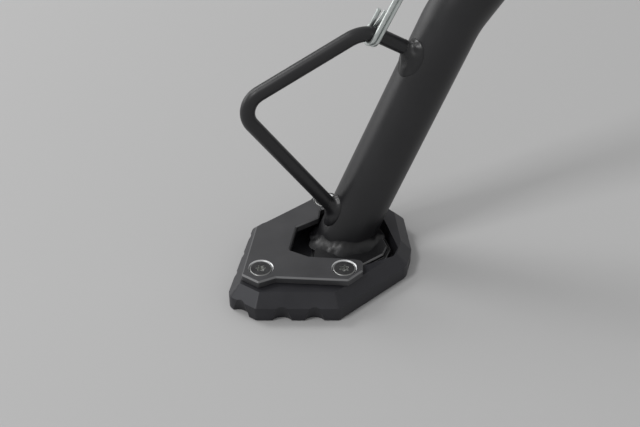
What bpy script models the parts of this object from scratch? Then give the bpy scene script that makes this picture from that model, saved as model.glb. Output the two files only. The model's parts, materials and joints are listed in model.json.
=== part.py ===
"""Motorcycle side stand with a widened foot, in metres, +Z up.

The bike stands to the +Y side and leans on the stand, its rear towards +X. The
origin is the centre of the bracket's face that bolts to the bike's frame. The
leg swings about an axis that is tipped 12 degrees, so its own parts are drawn in
the swing plane: x to the rear, y up the plane and z outboard, from the pivot.
The parts of the foot lie level, and are drawn above a point on the ground.
"""
import math

import bmesh
import bpy
from mathutils import Matrix, Vector

MM = 0.001
GAP = 0.3

# Driving dimensions, in millimetres and degrees
PIVOT_FROM_FACE = (0.0, -25.0, -72.0)     # pivot centre, seen from the frame face
PLANE_TIP = 12.0                          # swing plane's lean from the vertical
LEG_ANGLE = 66.35                         # leg's lower tube, in the swing plane
HEAD_ANGLE = 54.22                        # leg's upper tube, after its bend
TUBE_R, TUBE_WALL = 15.9, 3.0
STRAIGHT, BEND_R, HEAD_REACH = 136.0, 70.0, 99.46
AXIS_HEIGHT = 6.0                         # height above ground where the leg's axis is measured from
TRAVEL = 115.0

LUG_HALF, CHEEK_IN, CHEEK_OUT = 5.0, 6.4, 12.4
HEAD_R, BOSS_R, THROAT_R = 19.0, 17.0, 20.0
BORE_R, BUSH_R, BUSH_HOLE_R, SHANK_R = 8.0, 7.7, 6.3, 6.0
TUBE_STOP = 40.0                          # distance from pivot to the tube's upper end

ROD_R = 4.0
LOOP_TILT = 19.6                          # kick loop's plane, turned outboard from the swing plane
LOOP_START, LOOP_CORNER, LOOP_TOP, LOOP_END = (18.3, 20.6), (93.2, 60.6), (43.9, 120.9), (17.6, 118.7)
LOOP_CORNER_R, LOOP_TOP_R = 11.5, 19.0

HOOK_GAP = 0.6
HOOK_STEP = 4                             # where the hooks sit, in steps from the rod's upper end
HOOK_END, SHANK_END = 16.0, 45.0          # the open end's and the long side's reach above the rod
POST_AT = (-16.1, 91.6, 38.0)             # spring post's neck, from the pivot in the swing plane
NECK_R = 5.0
OUTER_WIRE_R, INNER_WIRE_R = 1.25, 1.15
WIRE_GAP = 0.2                            # half the space between the two springs' hooks
OUTER_COIL_R, INNER_COIL_R = 8.4, 4.8
COIL_FROM, COIL_TO = 80.0, 176.0          # coil's ends, measured from the loop
OUTER_TURNS, INNER_TURNS = 24, 26

WALL_TOP, BASE_TOP = 8.5, 14.7
EDGE_CUT = 0.6                            # small chamfer round the base's underside
NOTCH_R, NOTCH_DEPTH, NOTCH_TOP = 6.5, 3.0, 12.0
PLATE_LOW, PLATE_TOP, PLATE_CUT = 15.0, 19.0, 0.8
POCKET_FLOOR, SHOE_LOW, SHOE_TOP = 4.7, 5.0, 11.0
SCREWS = ((-44.8, -40.9), (0.2, -40.8), (-10.0, 22.0))
SINK_R, HEAD_SCREW_R, THREAD_R = 7.0, 6.1, 3.0


# Drawing tools

def polar(radius, degrees):
    return Vector((radius * math.cos(math.radians(degrees)), radius * math.sin(math.radians(degrees))))


def arc(centre, radius, start, end, steps):
    middle = Vector(centre)
    return [middle + polar(radius, start + (end - start) * i / steps) for i in range(steps + 1)]


def fillet(before, corner, after, radius, steps):
    """The arc that rounds a corner between its neighbours, in two dimensions or three."""
    back, ahead = (before - corner).normalized(), (after - corner).normalized()
    half = back.angle(ahead) / 2
    middle = corner + (back + ahead).normalized() * radius / math.sin(half)
    first = (corner + back * radius / math.tan(half) - middle).normalized()
    last = (corner + ahead * radius / math.tan(half) - middle).normalized()
    return [middle + radius * first.slerp(last, k / steps) for k in range(steps + 1)]


def rounded(points, radii, steps=3):
    """The closed outline through the points, each corner rounded to its radius."""
    points = [Vector(p) for p in points]
    outline = []
    for i, (corner, radius) in enumerate(zip(points, radii)):
        outline += fillet(points[i - 1], corner, points[(i + 1) % len(points)], radius, steps)
    return outline


def stepped_in(corners, radii, distance, steps=3):
    """A counter-clockwise rounded outline moved inwards: its corners keep their centres."""
    corners = [Vector(c) for c in corners]
    moved, turns = [], []
    for i, corner in enumerate(corners):
        back = (corner - corners[i - 1]).normalized()
        ahead = (corners[(i + 1) % len(corners)] - corner).normalized()
        inward = Vector((-back.y, back.x))
        normal = Vector((-back.y - ahead.y, back.x + ahead.x)).normalized()
        moved.append(corner + normal * distance / normal.dot(inward))
        turns.append(1 if back.cross(ahead) > 0 else -1)
    return rounded(moved, [max(r - distance * t, 0.3) for r, t in zip(radii, turns)], steps)


def lofted(rings, closed_loop=False):
    """A solid through rings of equal length: capped at its ends, or joined end to end."""
    mesh = bmesh.new()
    rows = [[mesh.verts.new(Vector(p) * MM) for p in ring] for ring in rings]
    count = len(rows[0])
    pairs = list(zip(rows, rows[1:])) + ([(rows[-1], rows[0])] if closed_loop else [])
    for low, high in pairs:
        for i in range(count):
            j = (i + 1) % count
            mesh.faces.new((low[i], low[j], high[j], high[i]))
    if not closed_loop:
        mesh.faces.new(rows[0][::-1])
        mesh.faces.new(rows[-1])
    return mesh


def prism(outline, low, high):
    return lofted([[(p[0], p[1], z) for p in outline] for z in (low, high)])


def turned(profile, sides, closed_loop=False):
    """A round solid about Z, from (radius, height) pairs."""
    rings = [[(*polar(radius, 360 * i / sides), height) for i in range(sides)]
             for radius, height in profile]
    return lofted(rings, closed_loop)


def swept(path, radius, sides):
    """A round bar along a path, its rings turned as little as they can be."""
    rings = []
    path = [Vector(p) for p in path]
    side = None
    for i, point in enumerate(path):
        ahead = (path[min(i + 1, len(path) - 1)] - path[max(i - 1, 0)]).normalized()
        side = ahead.orthogonal() if side is None else side
        side = (side - ahead * side.dot(ahead)).normalized()
        other = ahead.cross(side)
        rings.append([point + radius * (side * math.cos(a) + other * math.sin(a))
                      for a in (2 * math.pi * k / sides for k in range(sides))])
    return lofted(rings)


def bent(points, radii, steps):
    """A path through the points with its inner corners rounded."""
    path = [points[0]]
    for i, radius in enumerate(radii, start=1):
        path += fillet(points[i - 1], points[i], points[i + 1], radius, steps)
    return path + [points[-1]]


# Scene tools

def finish(name, colour, roughness, metallic):
    made = bpy.data.materials.new(name)
    made.use_nodes = True
    shader = made.node_tree.nodes["Principled BSDF"]
    shader.inputs["Base Color"].default_value = (*colour, 1)
    shader.inputs["Roughness"].default_value = roughness
    shader.inputs["Metallic"].default_value = metallic
    return made


def empty(name, location, parent=None, tip=0.0):
    made = bpy.data.objects.new(name, None)
    made.location = Vector(location) * MM
    made.rotation_euler = (math.radians(tip), 0, 0)
    made.parent = parent
    bpy.context.collection.objects.link(made)
    return made


def solid(name, mesh, parent, material=None, location=(0, 0, 0), matrix=None, smooth=35):
    data = bpy.data.meshes.new(name)
    if matrix:
        mesh.transform(matrix)
    bmesh.ops.recalc_face_normals(mesh, faces=mesh.faces)
    mesh.to_mesh(data)
    mesh.free()
    made = bpy.data.objects.new(name, data)
    made.location = Vector(location) * MM
    made.parent = parent
    bpy.context.collection.objects.link(made)
    if material:
        data.materials.append(material)
        data.shade_smooth()
        data.set_sharp_from_angle(angle=math.radians(smooth))
    return made


def change(piece, tool, operation):
    """Cut a tool out of a piece, or join it on."""
    modifier = piece.modifiers.new(tool.name, "BOOLEAN")
    modifier.operation = operation
    modifier.object = tool
    tool.hide_render = True
    tool.display_type = "WIRE"


def cut(piece, name, mesh, parent, matrix=None, location=(0, 0, 0)):
    change(piece, solid(name, mesh, parent, matrix=matrix, location=location), "DIFFERENCE")


def join(piece, name, mesh, parent, matrix=None):
    change(piece, solid(name, mesh, parent, matrix=matrix), "UNION")


def shifted(x, y, z):
    return Matrix.Translation(Vector((x, y, z)) * MM)


for leftover in list(bpy.data.objects):
    bpy.data.objects.remove(leftover, do_unlink=True)

POWDER = finish("powder_coat_black", (0.022, 0.022, 0.024), 0.42, 0.0)
ANODISED = finish("anodised_black", (0.03, 0.03, 0.033), 0.4, 0.6)
PLATE_GREY = finish("anodised_dark_grey", (0.045, 0.045, 0.047), 0.38, 0.6)
ZINC = finish("zinc_plated_steel", (0.55, 0.57, 0.56), 0.32, 1.0)
DARK_STEEL = finish("black_oxide_steel", (0.06, 0.06, 0.06), 0.35, 0.8)
BRONZE = finish("sintered_bronze", (0.42, 0.27, 0.12), 0.45, 1.0)
RUBBER = finish("rubber_black", (0.02, 0.02, 0.02), 0.8, 0.0)

root_level = empty("frame_face", (0, 0, 0))
root_plane = empty("bracket_plane", PIVOT_FROM_FACE, tip=90 - PLANE_TIP)
leg_plane = empty("leg_pivot", PIVOT_FROM_FACE, tip=90 - PLANE_TIP)
leg_level = empty("leg_level", (0, 0, 0), parent=leg_plane, tip=PLANE_TIP - 90)

# The leg's course in the swing plane: from the foot up, round the bend, to the pivot
along = polar(1, LEG_ANGLE)
head_along = polar(1, HEAD_ANGLE)
bend_rise = BEND_R * Vector((math.sin(math.radians(LEG_ANGLE)) - math.sin(math.radians(HEAD_ANGLE)),
                             math.cos(math.radians(HEAD_ANGLE)) - math.cos(math.radians(LEG_ANGLE))))
foot = -(along * STRAIGHT + bend_rise + head_along * HEAD_REACH)
axis_foot = Vector((foot.x, foot.y, 0))
to_level = Matrix.Rotation(math.radians(90 - PLANE_TIP), 3, "X")
ground = to_level @ axis_foot - Vector((0, 0, AXIS_HEIGHT))
leg_up = Vector((along.x, along.y, 0))
loop_out = Vector((-along.y * math.cos(math.radians(LOOP_TILT)), along.x * math.cos(math.radians(LOOP_TILT)),
                   math.sin(math.radians(LOOP_TILT))))


def in_loop(point):
    """A point of the kick loop's plane: (out from the leg's axis, along it)."""
    return axis_foot + loop_out * point[0] + leg_up * point[1]


def plane_height(point):
    """Height above ground of a point in the swing plane's coordinates."""
    return (to_level @ Vector(point)).z - ground.z


def tube_ring(radius, height, sides):
    """The leg's round section, sliced level at a height above the ground."""
    side = Vector((-along.y, along.x, 0))
    ring = []
    for i in range(sides):
        spread = polar(radius, 360 * i / sides)
        start = axis_foot + side * spread.x + Vector((0, 0, spread.y))
        climb = (height - plane_height(start)) / (to_level @ leg_up).z
        ring.append(start + leg_up * climb)
    return ring


def square_ring(centre, angle, radius, sides):
    side = polar(1, angle + 90)
    return [Vector((centre.x + side.x * s.x, centre.y + side.y * s.x, s.y))
            for s in (polar(radius, 360 * i / sides) for i in range(sides))]


# Bracket, bush, washers, post and buffer: fixed to the bike

def side_point(angle, reach, offset):
    """A point along a direction from the pivot, set off to its left."""
    return polar(reach, angle) + polar(offset, angle + 90)


DOWN = HEAD_ANGLE + 180
UP = DOWN + TRAVEL
BUFFER = 3.0
STOP_OFFSET = HEAD_R + GAP
lug = (arc((0, 0), BOSS_R, 150, 420, 18)
       + [side_point(UP, 6, STOP_OFFSET + BUFFER + GAP), side_point(UP, 30, STOP_OFFSET + BUFFER + GAP),
          Vector((39, 27)), Vector((30, 82)), Vector((-30, 82)), Vector((-30, 30)),
          side_point(DOWN, 25, -STOP_OFFSET - 9), side_point(DOWN, 28, -STOP_OFFSET),
          side_point(DOWN, 4, -STOP_OFFSET)])
bracket = solid("mount_bracket", prism(lug, -LUG_HALF, LUG_HALF), root_plane, POWDER)
post_at = Vector(POST_AT)
join(bracket, "post_boss", turned([(11, 0), (11, 9.2), (10.2, 10)], 24), root_plane,
     shifted(post_at.x, post_at.y, 0))
FACE_PLATE, FACE_PLATE_R, FACE_PLATE_T = ((-36, -32), (36, -32), (36, 46), (-36, 46)), 12, 12
FRAME_HOLES, FRAME_HOLE_R = ((-23, -19), (23, -19), (16, 32)), 5.3
face_plate = rounded(FACE_PLATE, [FACE_PLATE_R] * 4)
facing = Matrix.Rotation(math.radians(90), 4, "X")
join(bracket, "face_plate", prism(face_plate, 0, FACE_PLATE_T), root_level, facing)
cut(bracket, "bush_hole", turned([(BORE_R, -20), (BORE_R, 20)], 32), root_plane)
cut(bracket, "post_hole", turned([(5.3, 2), (5.3, 20)], 20), root_plane, shifted(post_at.x, post_at.y, 0))
for i, (x, z) in enumerate(FRAME_HOLES):
    cut(bracket, f"frame_hole_{i}", turned([(FRAME_HOLE_R, -30), (FRAME_HOLE_R, 30)], 20), root_level,
        shifted(x, 0, z) @ facing)

BUSH_HALF = 5.2
bush = [(BUSH_R, -BUSH_HALF), (BUSH_R, BUSH_HALF), (BUSH_HOLE_R, BUSH_HALF), (BUSH_HOLE_R, -BUSH_HALF)]
solid("pivot_bush", turned(bush, 32, True), root_plane, BRONZE)
for name, low in (("washer_outer", 5.5), ("washer_inner", -6.1)):
    ring = [(12, low), (12, low + 0.6), (BUSH_HOLE_R, low + 0.6), (BUSH_HOLE_R, low)]
    solid(name, turned(ring, 32, True), root_plane, ZINC)

solid("spring_post", turned([(5, 2.3), (5, 9), (5, 10.3), (8, 10.3), (8, 12), (6.5, 13.2), (6.5, 31),
                             (NECK_R, 33.2), (NECK_R, 42.8), (7.5, 44), (7.5, 46), (6.8, 46.8)], 20),
      root_plane, ZINC, location=(post_at.x, post_at.y, 0))
buffer = [side_point(UP, 8, STOP_OFFSET), side_point(UP, 27, STOP_OFFSET),
          side_point(UP, 27, STOP_OFFSET + BUFFER), side_point(UP, 8, STOP_OFFSET + BUFFER)]
solid("stop_buffer", prism(buffer, -LUG_HALF, LUG_HALF), root_plane, RUBBER)

# Leg: tube, forged head, pivot bolt and nut

SIDES = 32
bend_centre = foot + along * STRAIGHT + polar(BEND_R, LEG_ANGLE - 90)
BEND_STEPS = 4
tube_path = []
for i in range(BEND_STEPS + 1):
    angle = LEG_ANGLE + (HEAD_ANGLE - LEG_ANGLE) * i / BEND_STEPS
    tube_path.append((bend_centre + polar(BEND_R, angle + 90), angle))
tube_path.append((-head_along * (TUBE_STOP + GAP), HEAD_ANGLE))
bore_r = TUBE_R - TUBE_WALL
outside, inside = ([tube_ring(r, SHOE_TOP + GAP, SIDES)] + [square_ring(p, a, r, SIDES) for p, a in tube_path]
                   for r in (TUBE_R, bore_r))
solid("leg_tube", lofted(outside + inside[::-1], True), leg_plane, POWDER)

turn_head = Matrix.Rotation(math.radians(DOWN), 4, "Z")
lay_x = Matrix.Rotation(math.radians(90), 4, "Y")
head_outline = arc((0, 0), HEAD_R, 87, 273, 14) + [Vector((33, -16.2)), Vector((33, 16.2))]
head = solid("clevis_head", prism(head_outline, -CHEEK_OUT, CHEEK_OUT), leg_plane, POWDER, matrix=turn_head)
join(head, "head_socket", turned([(11, 21), (16.4, 29), (16.4, 39.2), (15.6, TUBE_STOP)], SIDES), leg_plane,
     turn_head @ lay_x)
throat = arc((0, 0), THROAT_R, -80, 80, 12) + [Vector((-30, 26)), Vector((-30, -26))]
cut(head, "head_slot", prism(throat, -CHEEK_IN, CHEEK_IN), leg_plane, turn_head)
cut(head, "head_bore", turned([(BUSH_HOLE_R, -20), (BUSH_HOLE_R, 20)], 32), leg_plane)


def hexagon(across, low, high):
    return prism([polar(across / math.sqrt(3), 60 * i) for i in range(6)], low, high)


bolt = solid("pivot_bolt", turned([(4.9, -23), (4.9, -12.6), (SHANK_R, -12.3), (SHANK_R, 12.7), (10.2, 12.7),
                                   (10.2, 16.2), (9.4, 17)], 32), leg_plane, ZINC)
cut(bolt, "bolt_socket", hexagon(8, 14, 20), leg_plane)
solid("pivot_nut", turned([(11, -14.4), (11, -12.7), (5.3, -12.7), (5.3, -20.5), (8.4, -20.5), (8.4, -14.4)],
                          24, True), leg_plane, ZINC)

# Kick loop, welded to the tube at both ends

loop_points = [in_loop(p) for p in (LOOP_START, LOOP_CORNER, LOOP_TOP, LOOP_END)]
loop_path = bent(loop_points, (LOOP_CORNER_R, LOOP_TOP_R), 8)
solid("kick_loop", swept(loop_path, ROD_R, 12), leg_plane, POWDER)
tube_frame = Matrix.Translation(axis_foot * MM) @ Matrix.Rotation(math.radians(LEG_ANGLE), 4, "Z") @ lay_x


def weld_pad(name, out, up, length, width, height, lead):
    """A rounded weld pad on the tube, around the end of the rod."""
    profile = [(math.cos(math.radians(a)), math.sin(math.radians(a))) for a in range(-75, 76, 25)]
    side = leg_up.cross(loop_out)
    basis = Matrix((leg_up * length, side * width, loop_out * height)).transposed().to_4x4()
    place = Matrix.Translation(in_loop((out, up)) * MM) @ basis
    pad = solid(name, turned(profile, 14), leg_plane, POWDER, matrix=place, smooth=60)
    cut(pad, name + "_tube", turned([(TUBE_R + GAP, -20), (TUBE_R + GAP, 160)], 48), leg_plane, tube_frame)
    rod_end, rod_next = in_loop(lead[0]), in_loop(lead[1])
    step = (rod_next - rod_end).normalized() * 12
    cut(pad, name + "_rod", swept([rod_end - step * 0.04, rod_end + step * 2], ROD_R + GAP, 16), leg_plane)


weld_pad("loop_weld_lower", 16.4, 19.0, 9.8, 7.0, 5.2, (LOOP_START, LOOP_CORNER))
weld_pad("loop_weld_upper", 15.8, 116.2, 12.0, 8.6, 6.4, (LOOP_END, LOOP_TOP))

# Original foot plate, its weld, and the widened foot clamped round it

shoe = rounded([(-20, -32.6), (8.6, -32.6), (24.4, -20.4), (27.6, -12), (22.6, 7), (17, 19.2), (3, 20.6),
                (-3, 13.6), (-15, 11.6), (-17.4, -8)], [4, 3, 3, 4, 4, 4, 3, 3, 4, 6])
solid("foot_plate", prism(shoe, SHOE_LOW, SHOE_TOP), leg_level, POWDER, location=ground)
WELD_OUT, WELD_UP = 2.0, 4.0
weld_rings = [tube_ring(TUBE_R + out, SHOE_TOP + up, 28) for out, up in
              ((GAP, GAP), (WELD_OUT, GAP), (0.6 * WELD_OUT, 0.6 * WELD_UP), (GAP, WELD_UP))]
solid("foot_weld", lofted(weld_rings, True), leg_plane, POWDER, smooth=70)

WALL_CORNERS = ((-62.6, -51.5), (-47.0, -62.2), (-2.5, -62.2), (35.6, -26.6), (39.2, -12), (36.8, 18),
                (27, 29), (6, 36), (-10, 35.6), (-24, 26), (-52.2, 8))
WALL_RADII = (6, 3, 3, 9, 4, 5, 6, 6, 5, 8, 4)
base = solid("foot_extension", lofted([[(p.x, p.y, z) for p in stepped_in(WALL_CORNERS, WALL_RADII, step_in)]
                                       for step_in, z in ((EDGE_CUT, 0), (0, EDGE_CUT), (0, WALL_TOP),
                                                          (BASE_TOP - WALL_TOP, BASE_TOP))]),
             leg_level, ANODISED, location=ground)


def notches(start, end, places):
    """Centres of the scallops along one side of the wall, which fade out at their top."""
    start, end = Vector(start), Vector(end)
    run = (end - start).normalized()
    outward = Vector((run.y, -run.x))
    return [start + run * place + outward * (NOTCH_R - NOTCH_DEPTH) for place in places]


centres = (notches(WALL_CORNERS[0], WALL_CORNERS[1], (9.0,))
           + notches(WALL_CORNERS[1], WALL_CORNERS[2], (13.9, 31.3))
           + notches(WALL_CORNERS[-1], WALL_CORNERS[0], (8.0, 25.0, 42.0)))
notch_narrowing = NOTCH_DEPTH / NOTCH_TOP
for i, centre in enumerate(centres):
    cone = turned([(NOTCH_R + notch_narrowing, -1), (NOTCH_R - NOTCH_DEPTH, NOTCH_TOP)], 24)
    cut(base, f"notch_{i}", cone, leg_level, shifted(centre.x, centre.y, 0), location=ground)
pocket = rounded([(-31, -34.4), (9.6, -34.4), (28.0, -25.4), (31.0, -18), (24.6, 8), (18.4, 21), (2.4, 22.4),
                  (-3.6, 18.0), (-18, 15.4), (-32, -4)], [4, 3, 3, 4, 3, 3, 2, 1, 3, 4])
cut(base, "pocket", prism(pocket, POCKET_FLOOR, 30), leg_level, location=ground)

CLAMP_CORNERS = ((-54.9, -46.5), (-45.6, -52.9), (-36.5, -48.6), (2.3, -51.1), (10.3, -43.1), (10.3, -34.2),
                 (6.5, -33.0), (-19.0, -30.6), (-29.6, -25.0), (-26.2, -4.0), (-13.4, 4.8), (-12.6, 12.4),
                 (-3.4, 17.4), (-0.6, 25.4), (-5.6, 30.4), (-16.0, 27.6), (-18.6, 22.8), (-49.4, -3.8))
CLAMP_RADII = (1.2, 1.2, 2, 1.2, 1.2, 2, 1.2, 1.2, 1.2, 1.5, 2, 2, 3, 3, 4, 4, 2, 2)
clamp_rings = [[(p.x, p.y, z) for p in stepped_in(CLAMP_CORNERS, CLAMP_RADII, step_in, 2)]
               for step_in, z in ((0, PLATE_LOW), (0, PLATE_TOP - PLATE_CUT), (PLATE_CUT, PLATE_TOP))]
clamp = solid("clamp_plate", lofted(clamp_rings), leg_level, PLATE_GREY, location=ground)

for number, (x, y) in enumerate(SCREWS, start=1):
    place = shifted(x, y, 0)
    sink = [(THREAD_R + 0.5, PLATE_LOW - 2), (THREAD_R + 0.5, PLATE_TOP - 3.5),
            (HEAD_SCREW_R + GAP, PLATE_TOP - 0.7), (SINK_R, PLATE_TOP + 0.2), (SINK_R, PLATE_TOP + 2)]
    cut(clamp, f"sink_{number}", turned(sink, 28), leg_level, place, location=ground)
    cut(base, f"thread_{number}", turned([(THREAD_R + GAP, 2), (THREAD_R + GAP, 30)], 16), leg_level, place,
        location=ground)
    screw = solid(f"clamp_screw_{number}",
                  turned([(THREAD_R, 4), (THREAD_R, PLATE_TOP - 3.9), (HEAD_SCREW_R, PLATE_TOP - 0.9),
                          (HEAD_SCREW_R, PLATE_TOP - 0.6), (HEAD_SCREW_R - 0.4, PLATE_TOP - 0.3)], 24),
                  leg_level, DARK_STEEL, location=ground, matrix=place)
    cut(screw, f"drive_{number}", hexagon(4, PLATE_TOP - 3, PLATE_TOP + 2), leg_level, place, location=ground)

# Two springs, one inside the other, from the bracket's post to the kick loop

hook_at = loop_path[-HOOK_STEP]
rod_line = (loop_path[1 - HOOK_STEP] - loop_path[-1 - HOOK_STEP]).normalized()
spring_run = hook_at - post_at
SPRING_LENGTH = spring_run.length
spring_along = spring_run.normalized()
spring_pivot = empty("spring_pivot", (0, 0, 0), parent=root_plane)
spring_pivot.location = post_at * MM


def hooked_spring(name, wire_r, coil_r, turns, side, hand):
    """A spring from the post's neck to the loop's rod, with a long open hook at each end."""
    grip = ROD_R + HOOK_GAP + wire_r
    across = spring_along.cross(rod_line).normalized()
    across = across if across.z > 0 else -across
    beside = across.cross(spring_along).normalized() * side * (wire_r + WIRE_GAP)
    rod_centre = spring_run + beside

    def by_rod(up, out):
        return rod_centre - spring_along * up + across * out

    path = [by_rod(HOOK_END, -grip)]
    path += [by_rod(-grip * math.sin(math.radians(a)), -grip * math.cos(math.radians(a)))
             for a in range(0, 181, 30)]
    path.append(by_rod(SHANK_END, grip))
    start, end = SPRING_LENGTH - COIL_FROM, SPRING_LENGTH - COIL_TO
    up_side = spring_along.cross(across)
    segments = 8
    for k in range(turns * segments + 1):
        angle = 2 * math.pi * k / segments * hand
        height = start + (end - start) * k / (turns * segments)
        path.append(spring_along * height + coil_r * (across * math.cos(angle) + up_side * math.sin(angle)))
    clasp = NECK_R + HOOK_GAP + wire_r
    pin_line = Vector((0, 0, -1)) * side * (wire_r + WIRE_GAP)
    sideways = Vector((0, 0, 1)).cross(spring_along).normalized()
    hook_line = sideways.cross(Vector((0, 0, 1))).normalized()
    hook_line = hook_line if hook_line.dot(spring_along) > 0 else -hook_line
    path.append(spring_along * (end - 5) + across * coil_r * 0.4 + pin_line + sideways * clasp * 0.5)
    for turn in (20, 0, -30, -60, -90, -120, -150, -180, -200):
        round_post = polar(clasp, turn)
        path.append(pin_line + hook_line * round_post.y + sideways * round_post.x)
    solid(name, swept(path, wire_r, 5), spring_pivot, ZINC, smooth=80)


hooked_spring("outer_spring", OUTER_WIRE_R, OUTER_COIL_R, OUTER_TURNS, -1, 1)
hooked_spring("inner_spring", INNER_WIRE_R, INNER_COIL_R, INNER_TURNS, 1, -1)
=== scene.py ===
"""Looks for a motorcycle side stand: powder-coated leg and kick loop, zinc springs, anodised wide foot."""
import json
import math

import bmesh
import bpy
from mathutils import Matrix, Vector, noise


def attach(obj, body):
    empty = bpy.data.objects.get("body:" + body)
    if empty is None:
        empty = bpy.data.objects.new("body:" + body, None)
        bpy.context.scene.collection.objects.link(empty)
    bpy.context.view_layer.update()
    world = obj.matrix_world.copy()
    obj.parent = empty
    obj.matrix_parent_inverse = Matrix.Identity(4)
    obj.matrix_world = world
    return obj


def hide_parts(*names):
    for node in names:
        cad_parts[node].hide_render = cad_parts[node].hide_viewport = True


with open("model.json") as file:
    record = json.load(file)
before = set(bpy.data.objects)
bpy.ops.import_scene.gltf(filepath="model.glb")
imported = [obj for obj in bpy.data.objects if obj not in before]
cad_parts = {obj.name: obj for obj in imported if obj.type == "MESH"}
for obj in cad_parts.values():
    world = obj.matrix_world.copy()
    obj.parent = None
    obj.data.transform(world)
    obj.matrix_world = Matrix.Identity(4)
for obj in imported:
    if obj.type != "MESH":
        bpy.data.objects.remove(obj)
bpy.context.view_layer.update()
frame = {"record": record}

MM = 0.001
record = frame["record"]
GROUND = Vector(next(m["pos_m"] for m in record["mounts"] if m["name"] == "foot_sole"))
JOINTS = {joint["name"]: joint for joint in record["behaviour"]["joints"]}
PIVOT = Vector(JOINTS["leg_swing"]["pos_m"])
POST = Vector(JOINTS["spring_swing"]["pos_m"])
SWING_AXIS = Vector(JOINTS["leg_swing"]["axis"]).normalized()

# Sizes in millimetres, the CAD's own
LEG_ANGLE, HEAD_ANGLE, TRAVEL = 66.35, 54.22, 115.0
TUBE_R, STRAIGHT, BEND_R, HEAD_REACH, TUBE_STOP = 15.9, 136.0, 70.0, 99.46, 40.0
ROD_R, LOOP_TILT = 4.0, 19.6
LOOP_START, LOOP_CORNER, LOOP_TOP, LOOP_END = (15.0, 18.8), (93.2, 60.6), (43.9, 120.9), (15.0, 118.5)
LOOP_CORNER_R, LOOP_TOP_R = 11.5, 19.0
WALL_TOP, BASE_TOP, PLATE_LOW, PLATE_TOP = 8.5, 14.7, 15.0, 19.0
POCKET_FLOOR, SHOE_LOW, SHOE_TOP = 4.7, 5.0, 11.0
SCREWS = ((-44.8, -40.9), (0.2, -40.8), (-10.0, 22.0))

# Swing plane: x to the rear, y up the plane, z outboard, from the pivot
UP_PLANE = SWING_AXIS.cross(Vector((1, 0, 0))).normalized()
PLANE = Matrix((Vector((1, 0, 0)), UP_PLANE, SWING_AXIS)).transposed().to_4x4()
PLANE.translation = PIVOT
LEVEL = Matrix.Translation(GROUND)
FACE = Matrix.Rotation(math.radians(90), 4, "X")


def placed(name, data):
    """A new object in the scene."""
    made = bpy.data.objects.new(name, data)
    bpy.context.collection.objects.link(made)
    return made


# Camera: its place in millimetres from the foot, and how many degrees it looks down

VIEW_FROM, VIEW_DOWN, LENS, SENSOR = (-12.85, -441.8, 352.1), 36.5, 54.28, 36.0


def aim_camera():
    """The viewpoint: standing in front of the foot, looking down at it."""
    data = bpy.data.cameras.new("camera")
    data.sensor_width = SENSOR
    data.lens = LENS
    data.dof.use_dof = False
    camera = placed("camera", data)
    camera.location = GROUND + Vector(VIEW_FROM) * MM
    camera.rotation_euler = (math.radians(90 - VIEW_DOWN), 0, 0)
    bpy.context.scene.camera = camera


aim_camera()


# Drawing tools

def polar(radius, degrees):
    return Vector((radius * math.cos(math.radians(degrees)), radius * math.sin(math.radians(degrees))))


def arc(centre, radius, start, end, steps):
    return [Vector(centre) + polar(radius, start + (end - start) * i / steps) for i in range(steps + 1)]


def fillet(before, corner, after, radius, steps):
    """The arc that rounds a corner between its neighbours, in two dimensions or three."""
    back, ahead = (before - corner).normalized(), (after - corner).normalized()
    half = back.angle(ahead) / 2
    middle = corner + (back + ahead).normalized() * radius / math.sin(half)
    first = (corner + back * radius / math.tan(half) - middle).normalized()
    last = (corner + ahead * radius / math.tan(half) - middle).normalized()
    return [middle + radius * first.slerp(last, k / steps) for k in range(steps + 1)]


def rounded(points, radii, steps=6):
    points = [Vector(p) for p in points]
    outline = []
    for i, (corner, radius) in enumerate(zip(points, radii)):
        outline += fillet(points[i - 1], corner, points[(i + 1) % len(points)], radius, steps)
    return outline


def stepped_in(corners, radii, distance, steps=6):
    """A counter-clockwise rounded outline moved inwards: its corners keep their centres."""
    corners = [Vector(c) for c in corners]
    moved, turns = [], []
    for i, corner in enumerate(corners):
        back = (corner - corners[i - 1]).normalized()
        ahead = (corners[(i + 1) % len(corners)] - corner).normalized()
        inward = Vector((-back.y, back.x))
        normal = Vector((-back.y - ahead.y, back.x + ahead.x)).normalized()
        moved.append(corner + normal * distance / normal.dot(inward))
        turns.append(1 if back.cross(ahead) > 0 else -1)
    return rounded(moved, [max(r - distance * t, 0.3) for r, t in zip(radii, turns)], steps)


def bent(points, radii, steps):
    path = [points[0]]
    for i, radius in enumerate(radii, start=1):
        path += fillet(points[i - 1], points[i], points[i + 1], radius, steps)
    return path + [points[-1]]


def lofted(rings, closed_loop=False):
    """A mesh through rings of equal length: capped at its ends, or joined end to end."""
    mesh = bmesh.new()
    rows = [[mesh.verts.new(Vector(p) * MM) for p in ring] for ring in rings]
    count = len(rows[0])
    for low, high in list(zip(rows, rows[1:])) + ([(rows[-1], rows[0])] if closed_loop else []):
        for i in range(count):
            j = (i + 1) % count
            mesh.faces.new((low[i], low[j], high[j], high[i]))
    if not closed_loop:
        mesh.faces.new(rows[0][::-1])
        mesh.faces.new(rows[-1])
    return mesh


def prism(outline, low, high):
    return lofted([[(p[0], p[1], z) for p in outline] for z in (low, high)])


def turned(profile, sides, closed_loop=False):
    rings = [[(*polar(radius, 360 * i / sides), height) for i in range(sides)]
             for radius, height in profile]
    return lofted(rings, closed_loop)


def shifted(x, y, z):
    return Matrix.Translation(Vector((x, y, z)) * MM)


def solid(name, mesh, place, sharp=30):
    """A closed piece, its place written into its mesh."""
    mesh.transform(place)
    bmesh.ops.recalc_face_normals(mesh, faces=mesh.faces)
    data = bpy.data.meshes.new(name)
    mesh.to_mesh(data)
    mesh.free()
    data.shade_smooth()
    data.set_sharp_from_angle(angle=math.radians(sharp))
    return placed(name, data)


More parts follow.
